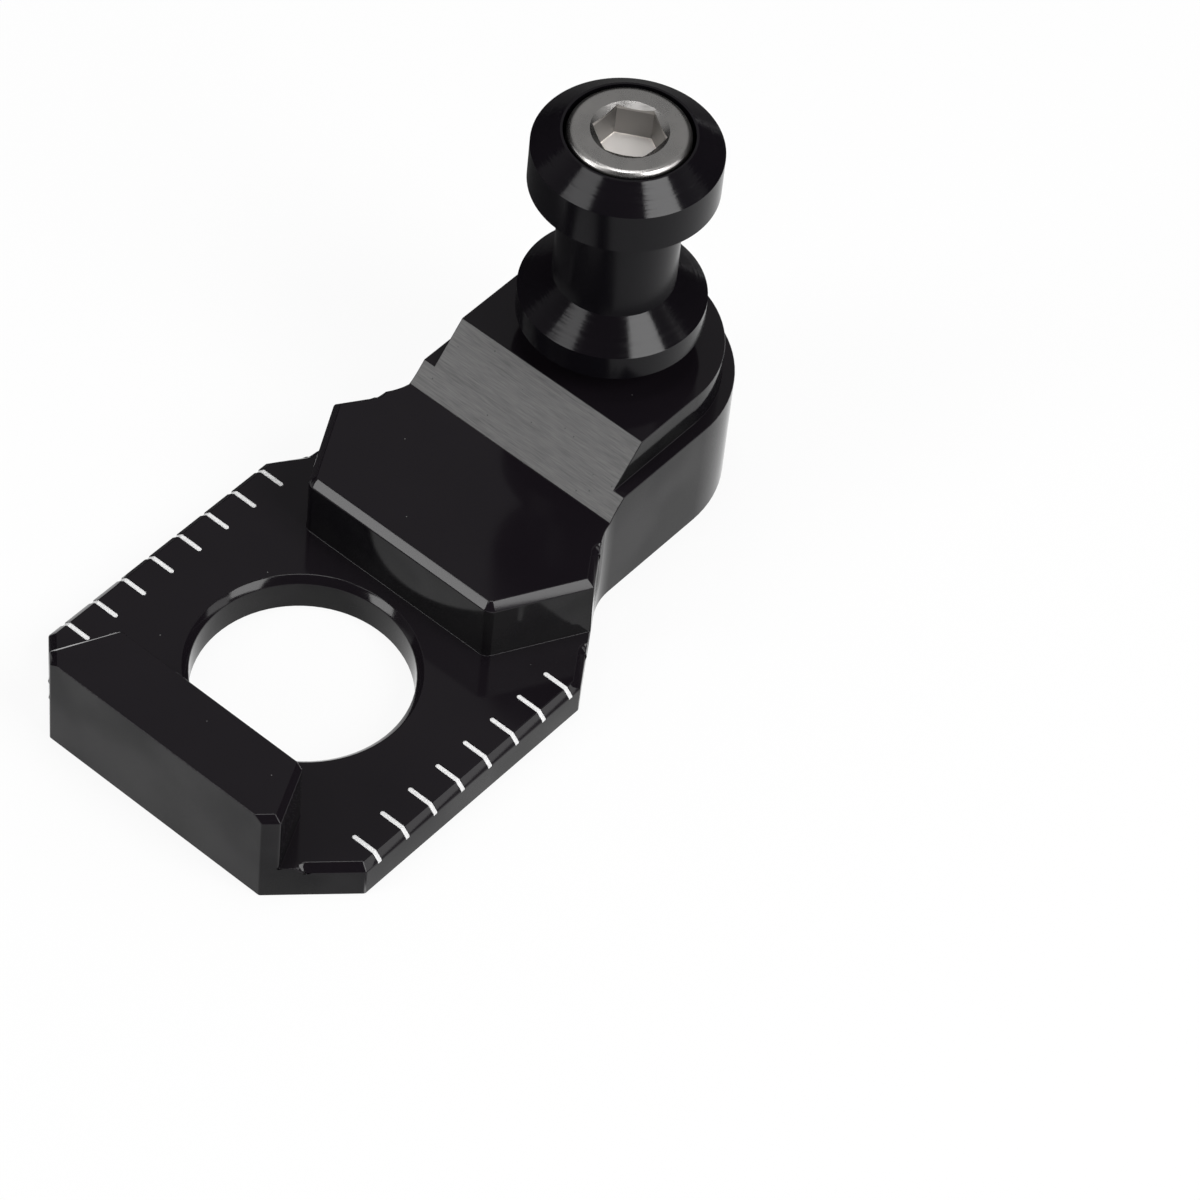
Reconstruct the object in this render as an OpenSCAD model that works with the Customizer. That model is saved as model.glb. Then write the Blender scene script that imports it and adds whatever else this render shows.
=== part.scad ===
// Chain adjuster for a motorcycle swingarm, with a spool for the paddock stand.
// It is a machined block that carries the wheel axle, a turned spool on the
// block's arm, and the socket screw that clamps the spool.
// Frame: Z = 0 is the flat back, the axle bore runs along Z through the origin,
// and X points from the end bar to the spool. Sizes are in millimetres.

/* [Axle plate] */
// Thickness of the plate round the axle bore
plate_t = 5.2; // [4:0.1:7]
// Width of the plate between its long sides
plate_w = 52.8; // [50:0.2:60]
// From the bore axis to the end face
end_reach = 26.5; // [25:0.1:32]
// From the bore axis to the far end of the long sides
side_reach = 21.8; // [21:0.1:25]
// Length of each cut corner at the end face, along X and along Y
corner_cut = 9; // [7:0.5:10]
// Diameter of the axle bore
bore_d = 28; // [20:0.5:30]
// Chamfer at the outer mouth of the axle bore
bore_chamfer = 0.9; // [0.3:0.1:1.5]

/* [Edge chamfers] */
// Radius on the upright corners of the plate and of the end bar
corner_r = 0.5; // [0.2:0.1:1]
// Chamfer along the top edges of the plate
plate_chamfer = 1; // [0.4:0.1:1.5]
// Chamfer along the top edges at both ends of the end bar
bar_chamfer = 0.9; // [0.4:0.1:1.5]
// Chamfer along the top edges of the nose
nose_chamfer = 1; // [0.4:0.1:1.5]
// Radius of the chamfer mill at its tip
mill_tip_r = 0.6; // [0.3:0.1:1]
// Distance that the chamfer mill keeps from a raised wall
mill_gap = 3.3; // [2.5:0.1:4]

/* [Scale marks] */
// Number of marks along each long side
mark_n = 8; // [3:1:8]
// Distance from one mark to the next
mark_pitch = 5; // [3:0.5:5]
// Distance from the bore axis to the mark nearest the end bar
mark_start = 15; // [15:0.5:16]
// Length of a mark on the top face, from the chamfer inwards
mark_len = 3.5; // [2:0.1:4]
// Width of a mark
mark_w = 0.6; // [0.4:0.1:1]
// Depth of the engraving that holds the paint
mark_depth = 0.2; // [0.1:0.05:0.4]

/* [End bar] */
// Height of the end bar above the back
bar_top = 14.8; // [10:0.1:20]
// Thickness of the end bar along X
bar_t = 9.4; // [6:0.1:9.5]
// Length of the inner face of the end bar, along Y
bar_inner_w = 30.6; // [24:0.2:34]
// How far the bar follows each cut corner, along X and along Y
bar_strip = 1.6; // [0.5:0.1:3]

/* [Nose] */
// Height of the nose above the back
nose_top = 14.5; // [10:0.1:16]
// From the bore axis to the front face of the nose
nose_reach = 16.7; // [16.2:0.1:18]
// Width of the front face of the nose
nose_w = 30; // [24:0.2:34]
// Radius on the upright corners at both ends of the front face
nose_corner_r = 1.5; // [0.5:0.1:2.5]
// From the bore axis to where the nose meets the slanted sides
flare_reach = 28.9; // [27:0.1:31]

/* [Arm] */
// From the bore axis to the spool axis
spool_reach = 55.6; // [52:0.1:70]
// Width of the arm
arm_w = 33.2; // [30:0.2:38]
// Thickness of the arm up to its ledge
arm_t = 17.2; // [16.2:0.1:19]
// Height of the spool pad above the back
pad_top = 22.4; // [20:0.1:26]
// Width of the ledge round the pad
ledge = 1.7; // [0.8:0.1:2.5]
// From the bore axis to where the slanted sides reach the arm
slant_reach = 36.5; // [35:0.1:38]
// Radius of the hollow between each slanted side and the arm
hollow_r = 8; // [4:0.5:10]
// Foot of the ramp, from the bore axis
ramp_reach = 37.5; // [36:0.1:40]
// Slope of the ramp in degrees
ramp_slope = 47; // [40:1:60]

/* [Spool] */
// Diameter of both flanges
flange_d = 23.9; // [22:0.1:27]
// Diameter of the neck that the stand hook takes
neck_d = 15.6; // [14:0.1:18]
// Length of the neck
neck_len = 15.9; // [12:0.1:24]
// Diameter of the foot that stands on the pad
foot_d = 14; // [13:0.5:18]
// Height of the foot
foot_h = 4.8; // [2:0.1:8]
// Height of the lower flange's rim
low_rim_h = 3.6; // [2:0.1:6]
// Height of the lower flange's cone
low_cone_h = 3.2; // [2:0.1:5]
// Height of the upper flange's rim
top_rim_h = 5.8; // [4:0.1:8]
// Height of the upper flange's cone
top_cone_h = 2.7; // [2:0.1:4]
// Width of the flat ring round the screw head
top_ring = 0.3; // [0.2:0.1:1]

/* [Spool screw] */
// Thread diameter of the screw
thread_d = 10; // [8:1:10]
// Length of the screw below its head
screw_len = 45; // [40:5:45]
// Diameter of the screw head
head_d = 15.4; // [13:0.1:16]
// Height of the screw head
head_h = 10; // [8:0.5:12]
// Radius on the top edge of the screw head
head_round = 0.9; // [0.4:0.1:1.5]
// Width across the flats of the hexagon socket
hex_af = 8; // [6:1:8]
// How far the lead-in circle stands out from the corners of the hexagon
lead_over = 0.25; // [0.1:0.05:0.5]
// Depth of the hexagon socket
hex_depth = 5; // [4:0.1:6]
// How far the screw head stands out of the spool
head_proud = 0.4; // [0:0.1:1]

/* [Clearances] */
// Gap round the screw in the tapped hole, on the radius
tapped_gap = 0.05; // [0.02:0.01:0.1]
// Gap round the screw in the spool, on the radius
shank_gap = 0.5; // [0.2:0.1:1]
// Gap round the screw head in the spool, on the radius
head_gap = 0.45; // [0.1:0.05:0.6]

/* [Hidden] */
$fn = 96;
eps = 0.01;
// How far a cut runs past the face that it crosses
over = 1;
// How far a chamfer cut runs past a corner
past = 2;
mill_lap = 0.02;
// Slope of the socket's lead-in, down from the top of the head
lead_slope = 30;

half_w = plate_w / 2;
arm_half = arm_w / 2;
pad_half = arm_half - ledge;

// Heights along the spool axis, from the back
low_rim_z = pad_top + foot_h;
low_cone_z = low_rim_z + low_rim_h;
neck_z = low_cone_z + low_cone_h;
top_rim_z = neck_z + neck_len;
top_cone_z = top_rim_z + top_rim_h;
spool_top_z = top_cone_z + top_cone_h;
head_z = spool_top_z + head_proud - head_h;

// Corners of the block's outline on the -Y side, from the end face to the arm
end_corner = [-end_reach, -(half_w - corner_cut)];
far_corner = [end_corner.x, -end_corner.y];
side_start = [-end_reach + corner_cut, -half_w];
side_end = [side_reach, -half_w];
slant_end = [slant_reach, -arm_half];

// Corners of the end bar's outline on the -Y side
bar_corner = end_corner + [bar_strip, -bar_strip];
bar_inner = [-end_reach + bar_t, -bar_inner_w / 2];

// Corners of the nose's outline on the -Y side
nose_corner = [nose_reach, -nose_w / 2];
flare_end = point_at(side_end, slant_end,
    (flare_reach - side_reach) / (slant_reach - side_reach));

// The hollow touches the slanted side and the arm at these points
slant_angle = atan2(slant_end.y - side_end.y, slant_end.x - side_end.x);
hollow_len = hollow_r * tan(slant_angle / 2);
hollow_start = slant_end - hollow_len * [cos(slant_angle), sin(slant_angle)];
hollow_end = slant_end + [hollow_len, 0];
hollow_centre = hollow_end - [0, hollow_r];

// Ramp ends, where it reaches the pad
ramp_end = ramp_reach + (pad_top - nose_top) / tan(ramp_slope);

function point_at(p, q, t) = p + t * (q - p);
function toward(p, q) = (q - p) / norm(q - p);
function mirrored(pts) = [for (i = [len(pts) - 1:-1:0]) [pts[i].x, -pts[i].y]];
// The points of an outline's corner p, rounded with radius r
function corner_arc(before, p, after, r) =
    let (u = toward(p, before), v = toward(p, after),
        half_angle = acos(u * v) / 2,
        centre = p + r / sin(half_angle) * toward([0, 0], u + v),
        start = p + r / tan(half_angle) * u - centre,
        end = p + r / tan(half_angle) * v - centre)
    [for (t = [0:0.25:1]) centre + r * toward([0, 0], (1 - t) * start + t * end)];
// Length along an edge over which the mill's cone fades out
function fade(c) = sqrt(pow(mill_tip_r + c, 2) - pow(mill_tip_r, 2));

// A slab whose outline is given on the -Y side and mirrored to the +Y side
module slab(half_outline, h) {
    linear_extrude(h)
        polygon(concat(half_outline, mirrored(half_outline)));
}

// The same cut on both sides of the block
module both_sides() {
    children();
    mirror([0, 1, 0]) children();
}

// What a chamfer of size c takes off a top edge at height z. The edge runs from
// p to q with the metal on its left. The cut runs past its ends by run_p, run_q.
module edge_chamfer(p, q, z, c, run_p, run_q) {
    dir = toward(p, q);
    start = p - run_p * dir;
    translate([start.x, start.y, z])
        rotate([0, 0, atan2(dir.y, dir.x)])
            rotate([90, 0, 90])
                linear_extrude(norm(q - p) + run_p + run_q)
                    polygon([[c + eps, eps], [-eps, -c - eps], [-eps, eps]]);
}

// The cone that the chamfer mill leaves where its path stops at a point on an
// edge. The edge points along dir and has the metal on its left. The cone laps
// a little over the straight chamfer, so that the two cross cleanly.
module mill_stop(point, dir, z, c) {
    centre = point + mill_tip_r * [dir.y, -dir.x];
    r = mill_tip_r + mill_lap;
    translate([centre.x, centre.y, z - c])
        cylinder(h = c + eps, r1 = r, r2 = r + c + eps);
}

// Flat plate with cut corners and chamfered top edges
module plate() {
    corner_dir = toward(end_corner, side_start);
    slant_dir = toward(side_end, slant_end);
    corner_stop = bar_corner + mill_gap * corner_dir;
    slant_stop = flare_end - mill_gap * slant_dir;
    difference() {
        slab(concat(
            corner_arc(far_corner, end_corner, side_start, corner_r),
            corner_arc(end_corner, side_start, side_end, corner_r),
            corner_arc(side_start, side_end, slant_end, corner_r),
            [slant_end]), plate_t);
        both_sides() {
            edge_chamfer(corner_stop, side_start, plate_t, plate_chamfer, 0, past);
            mill_stop(corner_stop, corner_dir, plate_t, plate_chamfer);
            edge_chamfer(side_start, side_end, plate_t, plate_chamfer, past, past);
            edge_chamfer(side_end, slant_stop, plate_t, plate_chamfer, past, 0);
            mill_stop(slant_stop, slant_dir, plate_t, plate_chamfer);
        }
    }
}

// Raised bar along the end face, which the adjusting bolt pushes on
module end_bar() {
    difference() {
        slab(concat(
            corner_arc(far_corner, end_corner, bar_corner, corner_r),
            corner_arc(end_corner, bar_corner, bar_inner, corner_r),
            corner_arc(bar_corner, bar_inner, bar_inner + [0, 1], corner_r)), bar_top);
        both_sides() {
            edge_chamfer(end_corner, bar_corner, bar_top, bar_chamfer, past, past);
            edge_chamfer(bar_corner, bar_inner, bar_top, bar_chamfer, past, past);
        }
    }
}

// What fills the corner between a slanted side and the arm up to the hollow
module hollow_fill(h) {
    difference() {
        linear_extrude(h)
            polygon([slant_end + [0, over], hollow_start + [0, over], hollow_start,
                hollow_centre, hollow_end, hollow_end + [0, over]]);
        translate([hollow_centre.x, hollow_centre.y, -over])
            cylinder(h = h + 2 * over, r = hollow_r);
    }
}

// Everything under the ramp, seen from the side
module skyline() {
    far = spool_reach + arm_half + over;
    translate([0, plate_w, 0])
        rotate([90, 0, 0])
            linear_extrude(2 * plate_w)
                polygon([[nose_reach - over, -over], [far, -over], [far, pad_top],
                    [ramp_end, pad_top], [ramp_reach, nose_top],
                    [nose_reach - over, nose_top]]);
}

// Nose, ramp and arm, with the ledge round the pad
module nose_and_arm() {
    nose_dir = toward(flare_end, hollow_start);
    nose_stop = hollow_start - fade(nose_chamfer) * nose_dir;
    far_nose_corner = [nose_corner.x, -nose_corner.y];
    nose_arc = corner_arc(far_nose_corner, nose_corner, flare_end, nose_corner_r);
    difference() {
        intersection() {
            union() {
                slab(concat(nose_arc, [flare_end, slant_end, [spool_reach, -arm_half]]),
                    arm_t);
                both_sides() hollow_fill(arm_t);
                translate([spool_reach, 0, 0]) cylinder(h = arm_t, r = arm_half);
                slab([[slant_reach, -pad_half], [spool_reach, -pad_half]], pad_top);
                translate([spool_reach, 0, 0]) cylinder(h = pad_top, r = pad_half);
            }
            skyline();
        }
        edge_chamfer(far_nose_corner, nose_corner, nose_top, nose_chamfer, past, past);
        both_sides() {
            for (i = [1:len(nose_arc) - 1])
                edge_chamfer(nose_arc[i - 1], nose_arc[i], nose_top, nose_chamfer, past, past);
            edge_chamfer(nose_corner, flare_end, nose_top, nose_chamfer, past, past);
            edge_chamfer(flare_end, nose_stop, nose_top, nose_chamfer, past, 0);
            mill_stop(nose_stop, nose_dir, nose_top, nose_chamfer);
        }
    }
}

// Groove of one scale mark, over the top face and down the chamfer
module scale_mark(x) {
    inner_y = -half_w + plate_chamfer + mark_len - mark_w / 2;
    groove_c = plate_chamfer + mark_depth * sqrt(2);
    left = [x - mark_w / 2, -half_w];
    translate([x, inner_y, plate_t - mark_depth]) cylinder(h = over, d = mark_w);
    translate([left.x, left.y - over, plate_t - mark_depth])
        cube([mark_w, inner_y - left.y + over, over]);
    edge_chamfer(left, left + [mark_w, 0], plate_t, groove_c, 0, 0);
}

// Scale marks along both long sides, which show how far the axle has moved
module scale_marks() {
    both_sides()
        for (i = [0:mark_n - 1]) scale_mark(-mark_start + i * mark_pitch);
}

// Bore for the axle, with its chamfered mouth
module axle_bore() {
    translate([0, 0, -over]) cylinder(h = plate_t + 2 * over, d = bore_d);
    translate([0, 0, plate_t - bore_chamfer])
        cylinder(h = bore_chamfer + eps, d1 = bore_d, d2 = bore_d + 2 * (bore_chamfer + eps));
}

// Tapped hole for the spool screw, through the arm
module tapped_hole() {
    d = thread_d + 2 * tapped_gap;
    lead = 0.6;
    translate([spool_reach, 0, -over]) cylinder(h = pad_top + 2 * over, d = d);
    translate([spool_reach, 0, -eps])
        cylinder(h = lead + eps, d1 = d + 2 * (lead + eps), d2 = d);
}

module axle_block() {
    color("#1a1a1c")
        difference() {
            union() {
                plate();
                end_bar();
                nose_and_arm();
            }
            scale_marks();
            axle_bore();
            tapped_hole();
        }
}

// Turned spool: foot, lower flange, neck, upper flange and a pocket for the head
module spool() {
    flange_r = flange_d / 2;
    pocket_r = head_d / 2 + head_gap;
    hole_r = thread_d / 2 + shank_gap;
    color("#161618")
        translate([spool_reach, 0, 0])
            rotate_extrude()
                polygon([
                    [hole_r, pad_top], [foot_d / 2, pad_top],
                    [foot_d / 2, low_rim_z], [flange_r, low_rim_z],
                    [flange_r, low_cone_z], [neck_d / 2, neck_z],
                    [neck_d / 2, top_rim_z], [flange_r, top_rim_z],
                    [flange_r, top_cone_z], [pocket_r + top_ring, spool_top_z],
                    [pocket_r, spool_top_z], [pocket_r, head_z],
                    [hole_r, head_z]
                ]);
}

// Socket-head screw that clamps the spool to the arm
module spool_screw() {
    tip = 1;
    hex_r = hex_af / 2 / cos(30);
    lead_r = hex_r + lead_over;
    lead_depth = (lead_r - hex_af / 2) * tan(lead_slope);
    round_z = head_h - head_round;
    color("#b9b8b5")
        translate([spool_reach, 0, head_z])
            difference() {
                union() {
                    rotate_extrude()
                        polygon(concat(
                            [[0, 0], [head_d / 2, 0]],
                            [for (a = [0:10:90])
                                [head_d / 2 - head_round * (1 - cos(a)),
                                    round_z + head_round * sin(a)]],
                            [[0, head_h]]));
                    translate([0, 0, -screw_len + tip])
                        cylinder(h = screw_len - tip + eps, d = thread_d);
                    translate([0, 0, -screw_len])
                        cylinder(h = tip, d1 = thread_d - 2 * tip, d2 = thread_d);
                }
                translate([0, 0, head_h - hex_depth])
                    cylinder(h = hex_depth + over, r = hex_r, $fn = 6);
                translate([0, 0, head_h - lead_depth])
                    cylinder(h = lead_depth + eps, r1 = hex_af / 2,
                        r2 = lead_r + eps / tan(lead_slope));
            }
}

axle_block();
spool();
spool_screw();
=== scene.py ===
# %% [markdown]
# # A motorcycle chain adjuster, black anodised, on a pale table
#
# The part has three pieces: a machined aluminium block that holds the rear
# axle, a turned spool for the paddock stand, and the stainless screw that
# clamps the spool. Their shapes come from the packed CAD model. This lesson
# adds what the CAD model has no room for: small broken edges on the block, the
# anodised finish with its mill and lathe lines, the white paint in the engraved
# scale, the camera and the light.

# %% Load the packed model
import math
import bpy
from mathutils import Matrix, Vector


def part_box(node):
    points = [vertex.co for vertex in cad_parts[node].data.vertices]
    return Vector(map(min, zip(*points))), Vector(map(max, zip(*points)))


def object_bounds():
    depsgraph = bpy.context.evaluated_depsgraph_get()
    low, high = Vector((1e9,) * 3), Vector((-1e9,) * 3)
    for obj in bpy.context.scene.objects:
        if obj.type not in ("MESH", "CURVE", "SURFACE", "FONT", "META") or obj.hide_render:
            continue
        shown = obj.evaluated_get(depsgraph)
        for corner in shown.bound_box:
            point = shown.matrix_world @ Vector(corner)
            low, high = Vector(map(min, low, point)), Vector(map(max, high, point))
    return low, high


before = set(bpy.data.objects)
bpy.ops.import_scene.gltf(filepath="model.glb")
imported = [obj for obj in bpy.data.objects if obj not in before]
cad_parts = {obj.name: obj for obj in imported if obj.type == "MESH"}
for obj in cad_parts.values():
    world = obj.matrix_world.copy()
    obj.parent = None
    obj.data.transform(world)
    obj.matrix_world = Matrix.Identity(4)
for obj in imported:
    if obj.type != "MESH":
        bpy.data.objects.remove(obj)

MM = 0.001
cad_box = [list(corner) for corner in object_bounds()]
print("CAD box in mm:", [[round(c / MM, 2) for c in corner] for corner in cad_box])

# %% [markdown]
# ## Where the pieces are
#
# The finishes need a few places on the object: the height of the plate, both
# ends of the ramp, the axis of the spool and the top of the screw. They are
# measured from the boxes of the CAD nodes, or written once here, in
# millimetres, as on the drawing of the block.

# %% Places on the block, in millimetres
PLATE_TOP = 5.2
RAMP_FOOT, RAMP_HEAD = 37.5, 44.9
HALF_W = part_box("axle_block")[1][1] / MM
spool_low, spool_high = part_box("spool")
SPOOL_X = (spool_low[0] + spool_high[0]) / 2 / MM
SCREW_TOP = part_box("spool_screw")[1][2] / MM
print("half width", round(HALF_W, 2), "mm, spool axis at", round(SPOOL_X, 2), "mm")
print("top of the screw at", round(SCREW_TOP, 2), "mm")

# %% [markdown]
# ## Shader maths as expressions
#
# A procedural finish is a sum of small patterns. Written as nodes, one such sum
# takes dozens of lines, so a small class wraps a socket and lets Python's own
# operators add the Math nodes.

# %% A wrapper for shader sockets
class Sock:
    """One output of a shader node, ready for sums."""

    def __init__(self, finish, socket):
        self.finish = finish
        self.socket = socket

    def _math(self, operation, *values, clamp=False):
        settings = {"operation": operation, "use_clamp": clamp}
        return self.finish.node("ShaderNodeMath", settings, dict(enumerate(values)))

    def __add__(self, other):
        return self._math("ADD", self, other)

    def __radd__(self, other):
        return self._math("ADD", other, self)

    def __sub__(self, other):
        return self._math("SUBTRACT", self, other)

    def __rsub__(self, other):
        return self._math("SUBTRACT", other, self)

    def __mul__(self, other):
        return self._math("MULTIPLY", self, other)

    def __rmul__(self, other):
        return self._math("MULTIPLY", other, self)

    def abs(self):
        return self._math("ABSOLUTE", self)

    def sqrt(self):
        return self._math("SQRT", self)

    def rounded(self):
        return self._math("ROUND", self)

    def least(self, other):
        return self._math("MINIMUM", self, other)

    def most(self, other):
        return self._math("MAXIMUM", self, other)

    def clamped(self):
        return self._math("ADD", self, 0.0, clamp=True)

    def step(self, low, high):
        """0 below low, 1 above high, smooth between them."""
        return self.finish.node("ShaderNodeMapRange", {"interpolation_type": "SMOOTHSTEP"},
                                {"Value": self, "From Min": low, "From Max": high})

    def drop(self, low, high):
        """1 below low, 0 above high, smooth between them."""
        return 1 - self.step(low, high)


print("a wrapped socket has", len([n for n in vars(Sock) if n[0] != "_"]), "named methods")

# %% [markdown]
# A second class holds the nodes of one material, or of the world, and starts
# with the output node. All other nodes come from one method, which sets a node
# up and feeds its sockets. Vectors and colours go through Vector Math and Mix,
# because a Math node would turn a colour grey.

# %% A tree that grows by expressions
class Finish:
    """The node tree of a material or of the world."""

    def __init__(self, owner, output="ShaderNodeOutputMaterial"):
        owner.use_nodes = True
        self.owner = owner
        self.tree = owner.node_tree
        self.tree.nodes.clear()
        self.output = self.tree.nodes.new(output)

    def node(self, kind, settings, inputs, out=0):
        """Adds a node, sets it up, feeds its sockets and returns one output."""
        made = self.tree.nodes.new(kind)
        for key, value in settings.items():
            setattr(made, key, value)
        for key, value in inputs.items():
            if isinstance(value, Sock):
                self.tree.links.new(value.socket, made.inputs[key])
            else:
                made.inputs[key].default_value = value
        return Sock(self, made.outputs[out])

    def surface(self, shader):
        """Ends the tree and returns its material or world."""
        self.tree.links.new(shader.socket, self.output.inputs["Surface"])
        return self.owner

    def vector(self, x, y, z):
        return self.node("ShaderNodeCombineXYZ", {}, {0: x, 1: y, 2: z})

    def split(self, vector):
        """X, Y and Z of a vector."""
        return [self.node("ShaderNodeSeparateXYZ", {}, {0: vector}, axis) for axis in "XYZ"]

    def mix(self, factor, a, b):
        """A colour between a and b."""
        colours = {0: factor, 6: a, 7: b}
        return self.node("ShaderNodeMix", {"data_type": "RGBA"}, colours, 2)

    def principled(self, **inputs):
        named = {key.replace("_", " "): value for key, value in inputs.items()}
        return self.node("ShaderNodeBsdfPrincipled", {}, named)

    def two_shaders(self, share, first, second):
        return self.node("ShaderNodeMixShader", {}, {0: share, 1: first, 2: second})


def grey(value, warm=0.0):
    """A grey, or one with a little more red and less blue."""
    return (value * (1 + warm), value, value * (1 - warm), 1.0)


print("a warm grey of a half:", grey(0.5, 0.03))

# %% [markdown]
# ## Patterns in millimetres
#
# Each pattern works on a point of the object, in millimetres, so the sizes
# below can be read like those on a drawing. Noise that is scaled differently
# along X, Y and Z is drawn out into lines, as a cutter leaves them. A Voronoi
# texture gives the distance to scattered points, which makes round specks.

# %% Place, direction, noise, specks and bump
def place(f):
    """The shaded point in millimetres."""
    point = f.node("ShaderNodeTexCoord", {}, {}, "Object")
    return f.node("ShaderNodeVectorMath", {"operation": "SCALE"}, {0: point, "Scale": 1 / MM})


def facing(f, axis):
    """1 where the surface looks along the axis, 0 where it runs beside it."""
    normal = f.node("ShaderNodeTexCoord", {}, {}, "Normal")
    return f.node("ShaderNodeSeparateXYZ", {}, {0: normal}, axis).abs()


def noise(f, point, per_mm, detail):
    return f.node("ShaderNodeTexNoise", {}, {"Vector": point, "Scale": per_mm, "Detail": detail})


def drawn_noise(f, point, per_mm, detail):
    """Noise with its own number of spots per millimetre along X, Y and Z."""
    scaled = f.node("ShaderNodeVectorMath", {"operation": "MULTIPLY"}, {0: point, 1: per_mm})
    return noise(f, scaled, 1.0, detail)


def specks(f, point, spacing, radius):
    """1 in tiny round spots, spacing and radius in millimetres."""
    away = f.node("ShaderNodeTexVoronoi", {}, {"Vector": point, "Scale": 1 / spacing})
    return away.drop(0.7 * radius / spacing, radius / spacing)


def bump(f, height, depth_mm, strength, under=None):
    """A relief of that depth, over another one if that is given."""
    inputs = {"Height": height, "Distance": depth_mm * MM, "Strength": strength}
    if under:
        inputs["Normal"] = under
    return f.node("ShaderNodeBump", {}, inputs)


print("patterns are scaled by", 1 / MM, "from metres")

# %% [markdown]
# ## The painted scale
#
# The marks are engraved in the CAD model, 0.2 mm deep, and on the real block
# they are filled with white paint. The paint isn't a piece of its own, so it is
# a mask over the block's finish. One mark is a bar with a round inner end. To
# get the whole row, X is folded: it is measured from the nearest mark. Each
# pair of numbers for an edge is where the mask starts and where it is full.

# %% White marks along both long sides
MARK_PITCH, MARK_FIRST, MARK_LAST = 5.0, -15.0, 20.0
MARK_HALF_W, MARK_LEN, PLATE_CHAMFER = 0.3, 3.5, 1.0
MARK_STEPS = (MARK_LAST - MARK_FIRST) / MARK_PITCH
MARK_EDGE = (MARK_HALF_W - 0.02, MARK_HALF_W + 0.03)
PAINT_FOOT = (PLATE_TOP - PLATE_CHAMFER - 0.35, PLATE_TOP - PLATE_CHAMFER - 0.2)
PAINT_TOP = (PLATE_TOP + 0.1, PLATE_TOP + 0.2)
PAINT_THIN, PAINT_FULL, PAINT_ROUGH = grey(0.7), grey(0.86), 0.4


def scale_paint(f, x, y, z):
    """1 inside a mark, 0 outside, with an edge a few hundredths soft."""
    steps = (x - MARK_FIRST) * (1 / MARK_PITCH)
    nearest = steps.rounded().most(0.0).least(MARK_STEPS)
    across = (x - MARK_FIRST - nearest * MARK_PITCH).abs()
    inner = HALF_W - PLATE_CHAMFER - MARK_LEN + MARK_HALF_W
    beyond = (inner - y.abs()).most(0.0)
    away = (across * across + beyond * beyond).sqrt()
    return away.drop(*MARK_EDGE) * z.step(*PAINT_FOOT) * z.drop(*PAINT_TOP)


print(int(MARK_STEPS) + 1, "marks on each long side")

# %% [markdown]
# ## The black block
#
# The block is milled, bright dipped and anodised black. The dye makes the metal
# nearly black, and the clear oxide above it is as smooth as lacquer. So it is a
# dark base under a clear, sharp reflection, and not a grey metal. The flats and
# chamfers shine more than the upright walls, so the finish mixes two shaders by
# the direction of the surface, and a broad cloud makes the walls a bit uneven.

# %% Colours and gloss of the black finish
BLACK = (0.0064, 0.0050, 0.0068, 1.0)
BLACK_LIGHT = (0.0090, 0.0072, 0.0094, 1.0)
BLACK_WALL = (0.0038, 0.0034, 0.0046, 1.0)
# The second grey on the next line is painted sheen on the ramp, and also the colour of the dust
# specks.
WALL_LIGHT, RAMP_SHEEN_AND_DUST_GREY = grey(0.012), grey(0.15, 0.01)
BLACK_ROUGH = 0.07
SHINY_IOR, BLOCK_WALL_IOR, SPOOL_WALL_IOR = 1.33, 1.195, 1.21
print("the shiny faces mirror", round(((SHINY_IOR - 1) / (SHINY_IOR + 1)) ** 2, 4), "head on")

# %% [markdown]
# The direction of a surface tells its kind. Each pair below is the share of the
# direction along an axis at which a mask starts and is full: a wall leans less
# than a few degrees, a level face is nearly flat, and the ramp stands at 45
# degrees, so it looks as much along X as along Z.

# %% Which face of the block this is
WALL_TILT, LEVEL_TILT, RAMP_TILT = (0.05, 0.2), (0.9, 0.98), (0.6, 0.68)
RAMP_START = (RAMP_FOOT - 0.3, RAMP_FOOT + 0.1)
RAMP_END = (RAMP_HEAD - 0.1, RAMP_HEAD + 0.3)


def block_faces(f, x):
    """Masks of the upright walls, the level faces and the ramp."""
    nx, nz = facing(f, "X"), facing(f, "Z")
    between_ends = x.step(*RAMP_START) * x.drop(*RAMP_END)
    on_ramp = between_ends * nx.step(*RAMP_TILT) * nz.step(*RAMP_TILT)
    return nz.drop(*WALL_TILT), nz.step(*LEVEL_TILT), on_ramp


print("walls lean up to", round(math.degrees(math.asin(WALL_TILT[1])), 1), "degrees")

# %% [markdown]
# The cutter leaves fine parallel lines. They show best on the ramp, where they
# run straight across. The ramp is also painted a lighter grey along its lines,
# a painted sheen for the light that it mirrors. On the level faces they are
# faint and run along the block. The sides were milled with the flank of the
# cutter, so their lines stand upright and are broad and soft. Each family is a
# noise that is drawn out along its lines, and the masks say where the family
# shows. Pits darken the ramp, and a few specks of dust lie on top.
#
# A noise is written as its spots per millimetre and its detail. A relief is
# written as its depth in millimetres and its strength. The numbers in the sums
# are shares, which were found by comparing renders with the photo.

# %% Sizes of the block's patterns
BLOCK_CLOUD, BLOCK_GRAIN, BLOCK_PATCHES = (0.09, 3.0), (7.0, 2.0), (0.07, 2.0)
RAMP_LINES, RAMP_STREAKS = ((7.0, 0.4, 7.0), 4.0), ((1.5, 0.03, 1.5), 3.0)
LEVEL_LINES = ((0.03, 5.0, 0.03), 3.0)
FLANK_LINES, FINE_FLANK_LINES = ((0.9, 0.9, 0.02), 2.0), ((8.0, 8.0, 0.1), 2.0)
PAINT_SPOTS = (2.5, 3.0)
PIT_SPACING, PIT_RADIUS = 2.0, 0.13
DUST_SPACING, DUST_RADIUS = 3.6, 0.1
MILL_RELIEF, BLACK_GRAIN_RELIEF = (0.02, 0.5), (0.003, 0.3)
print("lines on the ramp are", round(1 / RAMP_LINES[0][0], 2), "mm apart")

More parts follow.
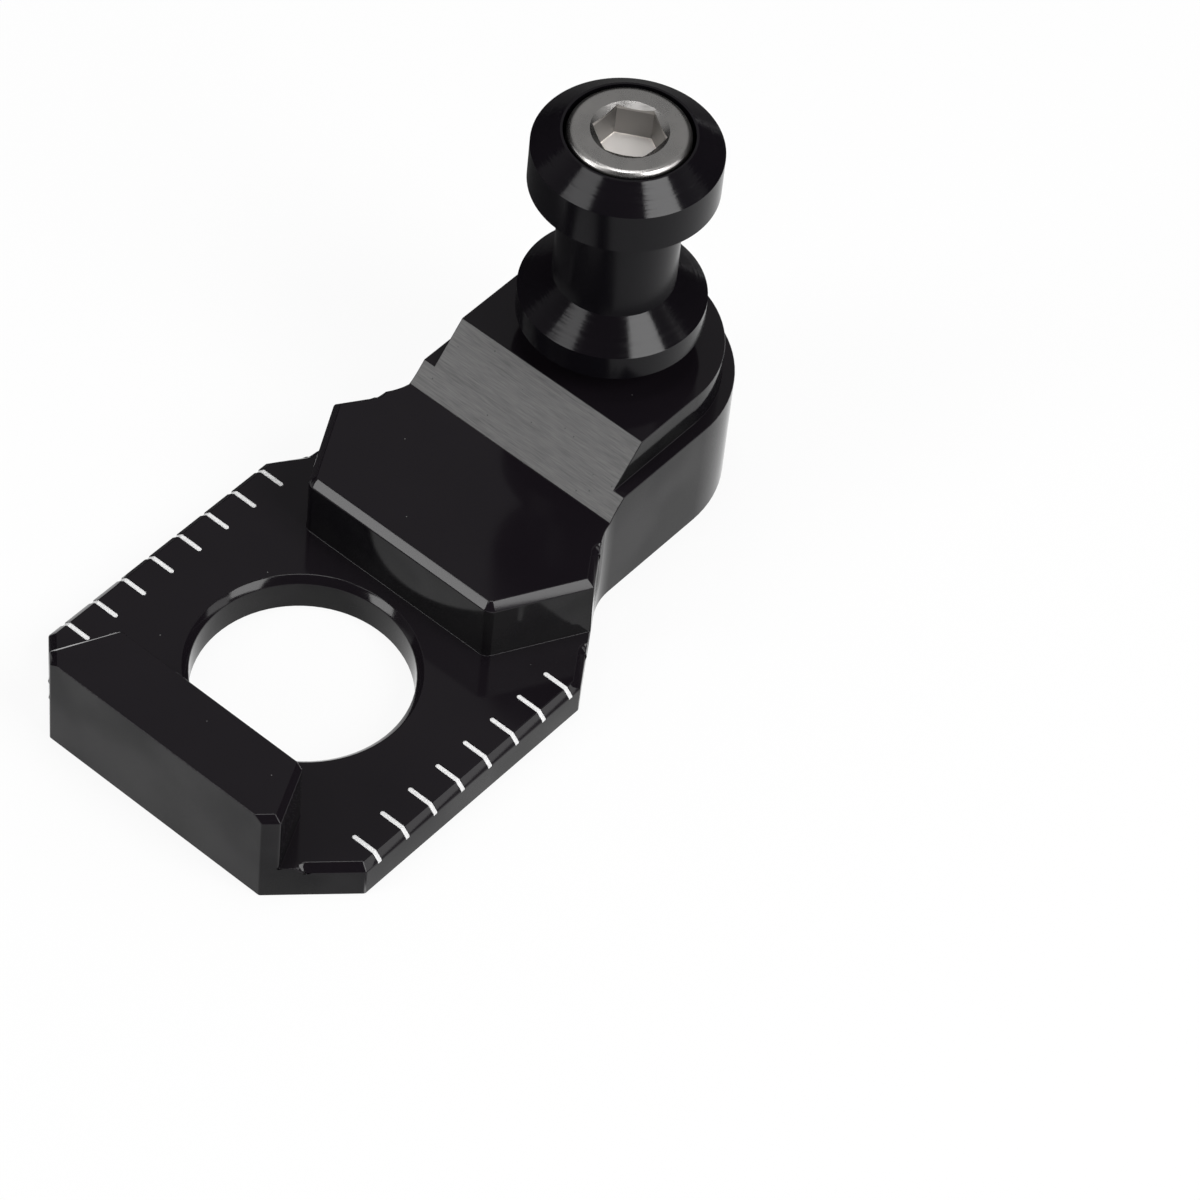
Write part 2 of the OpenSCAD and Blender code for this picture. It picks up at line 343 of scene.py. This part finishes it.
# %% Anodised finish of the block
def black_block():
    f = Finish(bpy.data.materials.new("block_black"))
    point = place(f)
    x, y, z = f.split(point)
    upright, level, on_ramp = block_faces(f, x)
    cloud = noise(f, point, *BLOCK_CLOUD)
    grain = noise(f, point, *BLOCK_GRAIN)

    across = drawn_noise(f, point, *RAMP_LINES)
    along = drawn_noise(f, point, *LEVEL_LINES)
    flank = drawn_noise(f, point, *FLANK_LINES)
    fine_flank = drawn_noise(f, point, *FINE_FLANK_LINES)
    lines = (across * on_ramp + along * level * 0.12
             + (flank * 0.9 + fine_flank * 0.1) * upright * 0.5)
    relief = bump(f, lines, *MILL_RELIEF, bump(f, grain, *BLACK_GRAIN_RELIEF))

    streak = drawn_noise(f, point, *RAMP_STREAKS)
    pits = specks(f, point, PIT_SPACING, PIT_RADIUS)
    dust = specks(f, point, DUST_SPACING, DUST_RADIUS) * level
    # Painted sheen: the ramp is painted a lighter grey along its mill lines for the light it mirrors.
    # Pits break it up, and dust specks take the same grey.
    ramp_sheen_and_mill_lines = on_ramp * (0.35 * streak + 1.1 * across - 0.1) * (1 - 0.8 * pits)
    tint = f.mix(cloud, BLACK, BLACK_LIGHT)
    metal = f.mix((ramp_sheen_and_mill_lines + 0.7 * dust).clamped(), tint, RAMP_SHEEN_AND_DUST_GREY)
    wall = f.mix(cloud.step(0.3, 0.7), BLACK_WALL, WALL_LIGHT)

    paint = scale_paint(f, x, y, z)
    white = f.mix(noise(f, point, *PAINT_SPOTS), PAINT_THIN, PAINT_FULL)
    rough = BLACK_ROUGH + cloud * 0.04 + on_ramp * (0.2 + 0.15 * across) + grain * 0.02
    rough = rough + paint * (PAINT_ROUGH - rough)
    bright = f.principled(Base_Color=f.mix(paint, metal, white), IOR=SHINY_IOR,
                          Normal=relief, Roughness=rough)
    dull = f.principled(Base_Color=f.mix(paint, wall, white), IOR=BLOCK_WALL_IOR,
                        Normal=relief, Roughness=rough)
    patchy = noise(f, point, *BLOCK_PATCHES).step(0.38, 0.62)
    return f.surface(f.two_shaders(upright * (1 - 0.35 * patchy), bright, dull))


block = black_block()
print("block finish has", len(block.node_tree.nodes), "nodes")

# %% [markdown]
# ## The black spool
#
# The spool is turned on a lathe, so its lines run round its axis. A noise that
# depends only on the distance from the axis and on the height gives rings on
# the faces, the cones, the neck and the rims. They are much fainter on the neck
# and the rims, which are upright and, as on the block, duller. The neck is a
# little rougher than the rims.

# %% Turned finish of the spool
NECK_EDGE = (7.9, 8.3)
SPOOL_CLOUD, SPOOL_GRAIN = (0.12, 3.0), (8.0, 2.0)
RINGS_PER_MM, FINE_RINGS_PER_MM = 2.4, 8.0
LATHE_RELIEF = (0.035, 0.5)


def from_axis(x, y):
    """The distance from the axis of the spool."""
    dx = x - SPOOL_X
    return (dx * dx + y * y).sqrt()


def turned_rings(f, radius, z, per_mm, layer, detail):
    """Rings round the axis; another layer gives another set of them."""
    return noise(f, f.vector(radius * per_mm, z * per_mm, layer), 1.0, detail)


def black_spool():
    f = Finish(bpy.data.materials.new("spool_black"))
    point = place(f)
    x, y, z = f.split(point)
    radius = from_axis(x, y)
    upright = facing(f, "Z").drop(*WALL_TILT)
    cloud = noise(f, point, *SPOOL_CLOUD)
    grain = noise(f, point, *SPOOL_GRAIN)

    rings = turned_rings(f, radius, z, RINGS_PER_MM, layer=0.0, detail=3.0)
    fine_rings = turned_rings(f, radius, z, FINE_RINGS_PER_MM, layer=5.0, detail=2.0)
    lines = (0.85 * rings + 0.15 * fine_rings) * (1 - 0.8 * upright)
    relief = bump(f, lines, *LATHE_RELIEF, bump(f, grain, *BLACK_GRAIN_RELIEF))

    turned = (0.4 * rings + 0.6 * fine_rings).step(0.45, 0.62) * (1 - upright)
    rough = BLACK_ROUGH + cloud * 0.03 + grain * 0.02 + turned * 0.06
    wall_rough = rough + 0.08 + 0.07 * radius.drop(*NECK_EDGE)
    bright = f.principled(Base_Color=f.mix(cloud, BLACK_WALL, BLACK), IOR=SHINY_IOR,
                          Normal=relief, Roughness=rough)
    dull = f.principled(Base_Color=BLACK_WALL, IOR=SPOOL_WALL_IOR,
                        Normal=relief, Roughness=wall_rough)
    return f.surface(f.two_shaders(upright, bright, dull))


spool = black_spool()
print("spool finish has", len(spool.node_tree.nodes), "nodes")

# %% [markdown]
# ## The stainless screw
#
# The head of the screw is forged and then turned, so it is bright and a little
# rough, with faint rings. Inside the socket the steel is as the punch left it,
# and rougher. Its walls are painted dark as painted shade, and its floor is
# painted light as a painted highlight. Depth below the top and distance from
# the axis tell the socket from the rest. Each pair below is where a mask starts
# and where it is full.

# %% Stainless steel
SOCKET_MOUTH = (SCREW_TOP - 0.9, SCREW_TOP - 0.7)
SOCKET_FLOOR = (SCREW_TOP - 4.9, SCREW_TOP - 4.8)
SOCKET_END = (SCREW_TOP - 6.0, SCREW_TOP - 5.8)
SOCKET_REACH = (4.6, 4.7)
TURNED_DARK, TURNED_LIGHT = grey(0.36, 0.02), grey(0.50, 0.03)
# Painted shade for the socket walls and a painted highlight for the socket floor.
SHADED_SOCKET_WALL_GREY, LIT_SOCKET_FLOOR_GREY = grey(0.25, 0.03), grey(0.95, 0.03)
STEEL_ROUGH = 0.2
STEEL_CLOUD, STEEL_GRAIN = (0.35, 4.0), (7.0, 3.0)
STEEL_RINGS_PER_MM = 7.0
STEEL_RING_RELIEF, STEEL_GRAIN_RELIEF = (0.015, 0.4), (0.006, 0.35)


def stainless():
    f = Finish(bpy.data.materials.new("stainless"))
    point = place(f)
    x, y, z = f.split(point)
    radius = from_axis(x, y)
    cloud = noise(f, point, *STEEL_CLOUD)
    grain = noise(f, point, *STEEL_GRAIN)
    rings = turned_rings(f, radius, z, STEEL_RINGS_PER_MM, layer=2.0, detail=2.0)

    in_socket = z.drop(*SOCKET_MOUTH) * z.step(*SOCKET_END) * radius.drop(*SOCKET_REACH)
    on_floor = in_socket * z.drop(*SOCKET_FLOOR)
    turned = f.mix(cloud, TURNED_DARK, TURNED_LIGHT)
    # The socket walls get painted shade, and the socket floor gets a painted highlight.
    socket_painted_shade_and_highlight = f.mix(on_floor, SHADED_SOCKET_WALL_GREY, LIT_SOCKET_FLOOR_GREY)
    rough = STEEL_ROUGH + cloud * 0.1 + grain * 0.06 + in_socket * 0.2 + on_floor * 0.2
    relief = bump(f, rings, *STEEL_RING_RELIEF, bump(f, grain, *STEEL_GRAIN_RELIEF))
    return f.surface(f.principled(Base_Color=f.mix(in_socket, turned, socket_painted_shade_and_highlight), Metallic=1.0,
                                  Roughness=rough, Normal=relief))


steel = stainless()
print("steel finish has", len(steel.node_tree.nodes), "nodes")

# %% [markdown]
# ## Dress the CAD nodes
#
# No real edge is perfectly sharp: deburring and anodising leave a tiny facet
# that catches a line of light. The loaded mesh has its faces apart, so a bevel
# finds no edges in it. On the block, a Weld modifier joins the faces, Decimate
# merges the triangles that lie in one plane, and Bevel breaks the sharp edges
# with one narrow facet. The spool and the screw are only merged: their flats
# are rings, and a weld before the merge closed the spool's pocket with a disc.
# On all three, normals weighted by face area keep the flats flat. These are
# modifiers, so the CAD mesh itself stays as it is.

# %% Materials and broken edges
SAME_POINT = 0.001
SAME_PLANE_DEGREES = 0.4
SHARP_DEGREES = 30
BLOCK_EDGE = 0.12


def join_faces(obj):
    weld = obj.modifiers.new("join faces", "WELD")
    weld.merge_threshold = SAME_POINT * MM


def merge_flats(obj):
    flat = obj.modifiers.new("merge flats", "DECIMATE")
    flat.decimate_type = "DISSOLVE"
    flat.angle_limit = math.radians(SAME_PLANE_DEGREES)


def break_edges(obj, width_mm):
    bevel = obj.modifiers.new("broken edges", "BEVEL")
    bevel.width = width_mm * MM
    bevel.segments = 1
    bevel.limit_method = "ANGLE"
    bevel.angle_limit = math.radians(SHARP_DEGREES)
    bevel.use_clamp_overlap = False


def dress(name, material, edge_mm=None):
    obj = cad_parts[name]
    for slot in obj.material_slots:
        slot.material = material
    for face in obj.data.polygons:
        face.use_smooth = True
    if edge_mm:
        join_faces(obj)
    merge_flats(obj)
    if edge_mm:
        break_edges(obj, edge_mm)
    weighted = obj.modifiers.new("flat normals", "WEIGHTED_NORMAL")
    weighted.keep_sharp = False
    weighted.weight = 100
    print(name, "has", len(obj.data.polygons), "faces and", len(obj.modifiers), "modifiers")


dress("axle_block", block, BLOCK_EDGE)
dress("spool", spool)
dress("spool_screw", steel)

# %% [markdown]
# ## Table and backdrop
#
# The pictures of such parts are shot on white. The floor is one large pale
# sheet of paper. Nine tenths of what the camera and the reflections see of it
# is plain white, and the rest is its own lit paper, which holds the part's
# shadow. For all other light the floor is only paper.

# %% A pale floor
TABLE_HALF = 3.0
PAPER_DARK, PAPER_LIGHT = grey(0.88), grey(0.9)
PAPER_CLOUD = (0.02, 2.0)
WHITE_SHARE = 0.9


def lit_paper():
    f = Finish(bpy.data.materials.new("table_white"))
    shade = f.mix(noise(f, place(f), *PAPER_CLOUD), PAPER_DARK, PAPER_LIGHT)
    paper = f.node("ShaderNodeBsdfDiffuse", {}, {"Color": shade})
    glow = f.node("ShaderNodeEmission", {}, {"Color": grey(1.0), "Strength": 1.0})
    seen = (f.node("ShaderNodeLightPath", {}, {}, "Is Camera Ray")
            + f.node("ShaderNodeLightPath", {}, {}, "Is Glossy Ray")
            + f.node("ShaderNodeLightPath", {}, {}, "Is Transmission Ray"))
    return f.surface(f.two_shaders(seen.least(1.0) * WHITE_SHARE, paper, glow))


def sheet_object(name, points, faces, material):
    """An object of flat faces that starts at the foot of the part."""
    mesh = bpy.data.meshes.new(name)
    mesh.from_pydata(points, [], faces)
    mesh.materials.append(material)
    made = bpy.data.objects.new(name, mesh)
    made.location.z = cad_box[0][2]
    bpy.context.scene.collection.objects.link(made)
    print(name, "has", len(mesh.polygons), "faces")
    return made


corners = [(-TABLE_HALF, -TABLE_HALF, 0), (TABLE_HALF, -TABLE_HALF, 0),
           (TABLE_HALF, TABLE_HALF, 0), (-TABLE_HALF, TABLE_HALF, 0)]
table = sheet_object("table", corners, [(0, 1, 2, 3)], lit_paper())

# %% [markdown]
# ## Light
#
# Smooth black metal shows what stands around it, more than it shows light. In
# the photo the flat tops are nearly black, so the room above is dark. The ramp
# and two bands on each cone of the spool are bright, so soft boxes stand where
# those faces mirror them: the ramp mirrors the left box, and the cones mirror
# the high left box and the near box. The side box is what the chamfer along the
# near side mirrors. The top box hangs nearly straight above, where no face
# mirrors it into the lens, and lights the table.

# %% Soft boxes
MIDDLE = Vector((25, 0, 20)) * MM
LAMP_DISTANCE = 1.0


def towards(azimuth, elevation):
    """The direction with this azimuth from +X and this height over the table."""
    az, el = math.radians(azimuth), math.radians(elevation)
    return Vector((math.cos(el) * math.cos(az), math.cos(el) * math.sin(az), math.sin(el)))


def soft_box(name, azimuth, elevation, width, height, radiance):
    """A lamp that faces the part and stands upright, as on a lamp stand."""
    data = bpy.data.lights.new(name, "AREA")
    data.shape = "RECTANGLE"
    data.size = width
    data.size_y = height
    data.energy = radiance * math.pi * width * height
    lamp = bpy.data.objects.new(name, data)
    away = towards(azimuth, elevation)
    lamp.location = MIDDLE + away * LAMP_DISTANCE
    lamp.rotation_euler = away.to_track_quat("Z", "Y").to_euler()
    lamp.visible_camera = False
    bpy.context.scene.collection.objects.link(lamp)
    light = radiance * width * height * away.z / math.pi / LAMP_DISTANCE ** 2
    print(name, "lights the table with", round(light, 2))


soft_box("left box", 152, 29, 0.34, 0.30, radiance=8.0)
soft_box("high left box", 154, 55, 0.36, 0.28, radiance=3.4)
soft_box("near box", -86, 43, 0.44, 0.60, radiance=7.5)
soft_box("side box", -60, 26, 0.36, 0.28, radiance=2.4)
soft_box("top box", 45, 87, 0.35, 0.35, radiance=6.0)

# %% [markdown]
# A black card stands behind the part and a dark one lies on the table to its
# left, as in a studio that shoots black metal. The sides of the cones, the
# chamfers behind and the left of the spool mirror them and stay black. The
# cards only show in reflections, so they throw no shadow and hide nothing.

# %% Black cards
STANDING_RADIUS, STANDING_HEIGHT, STANDING_PARTS = 700, 450, 24
STANDING_FROM, STANDING_TO = -45, 115
LYING_SIZE, LYING_GAP, LYING_LIFT = 600, 2, 0.2
STANDING_SHADE, LYING_SHADE = 0.01, 0.08


def cloth(name, shade):
    f = Finish(bpy.data.materials.new(name))
    return f.surface(f.node("ShaderNodeBsdfDiffuse", {}, {"Color": grey(shade)}))


def card(name, points_mm, faces, shade):
    """A cloth-covered card that only shows in reflections."""
    points = [Vector(point) * MM for point in points_mm]
    made = sheet_object(name, points, faces, cloth(name, shade))
    made.visible_camera = False
    made.visible_diffuse = False
    made.visible_shadow = False


def standing_card():
    """Part of a round wall about the part, from one azimuth to another."""
    turn = (STANDING_TO - STANDING_FROM) / STANDING_PARTS
    foot = [towards(STANDING_FROM + turn * i, 0) * STANDING_RADIUS for i in range(STANDING_PARTS + 1)]
    low = [(p.x, p.y, 0) for p in foot]
    high = [(p.x, p.y, STANDING_HEIGHT) for p in foot]
    above = len(foot)
    faces = [(i, i + 1, above + i + 1, above + i) for i in range(STANDING_PARTS)]
    card("standing_card", low + high, faces, STANDING_SHADE)


def lying_card():
    near = HALF_W + LYING_GAP
    points = [(0, near, LYING_LIFT), (LYING_SIZE, near, LYING_LIFT),
              (LYING_SIZE, LYING_SIZE, LYING_LIFT), (0, LYING_SIZE, LYING_LIFT)]
    card("lying_card", points, [(0, 1, 2, 3)], LYING_SHADE)


standing_card()
lying_card()

# %% [markdown]
# The world is bright at the horizon, like a white sweep. Above it the room is
# dim behind the part and darker still behind the camera. The two numbers of
# AHEAD are the level direction in which the camera of the photo looked.

# %% World
AHEAD = (0.813, 0.582)
SWEEP_ENDS, ROOM_TURNS = (0.1, 0.35), (-0.3, 0.3)
SWEEP, ROOM_FAR, ROOM_NEAR = grey(0.95), grey(0.33), grey(0.05)

world = bpy.data.worlds.new("studio")
bpy.context.scene.world = world
w = Finish(world, "ShaderNodeOutputWorld")
east, north, height = w.split(w.node("ShaderNodeTexCoord", {}, {}, "Generated"))
behind = (east * AHEAD[0] + north * AHEAD[1]).step(*ROOM_TURNS)
room = w.mix(behind, ROOM_NEAR, ROOM_FAR)
shown = w.mix(height.step(*SWEEP_ENDS), SWEEP, room)
w.surface(w.node("ShaderNodeBackground", {}, {"Color": shown, "Strength": 1.0}))
print("world has", len(w.tree.nodes), "nodes")

# %% [markdown]
# ## Camera
#
# The camera stands where the photographer's did. Its place was worked out from
# the edges of the block, whose shape is known. It is given by the point it
# looks at, the azimuth of its right-hand side, how steeply it looks down, its
# roll, its distance and its lens.

# %% Camera
TARGET_MM, DISTANCE_MM = (37.22, -16.73, 0), 693.5
RIGHT_AZIMUTH, DOWN_DEGREES, ROLL_DEGREES = -54.436, 49.806, 6.592
LENS_MM, SENSOR_MM = 165.3, 36.0
NEAREST_M, FARTHEST_M = 0.01, 20.0


def camera_at_work():
    az, el, ro = (math.radians(a) for a in (RIGHT_AZIMUTH, DOWN_DEGREES, ROLL_DEGREES))
    right = Vector((math.cos(az), math.sin(az), 0))
    level = Vector((-math.sin(az), math.cos(az), 0))
    ahead = math.cos(el) * level - math.sin(el) * Vector((0, 0, 1))
    up = right.cross(ahead)
    cam_right = math.cos(ro) * right + math.sin(ro) * up
    cam_up = -math.sin(ro) * right + math.cos(ro) * up
    turn = Matrix((cam_right, cam_up, -ahead)).transposed().to_4x4()
    data = bpy.data.cameras.new("camera")
    data.sensor_width = SENSOR_MM
    data.lens = LENS_MM
    data.clip_start = NEAREST_M
    data.clip_end = FARTHEST_M
    made = bpy.data.objects.new("camera", data)
    made.matrix_world = Matrix.Translation((Vector(TARGET_MM) - ahead * DISTANCE_MM) * MM) @ turn
    bpy.context.scene.collection.objects.link(made)
    return made


camera = camera_at_work()
bpy.context.scene.camera = camera
bpy.context.scene.view_settings.view_transform = "Standard"
print("camera at", [round(c / MM, 1) for c in camera.location], "mm")
print("lens", round(camera.data.lens, 2), "mm")

# %% [markdown]
# ## Update the scene
#
# The view layer is updated once more at the end.

bpy.context.view_layer.update()
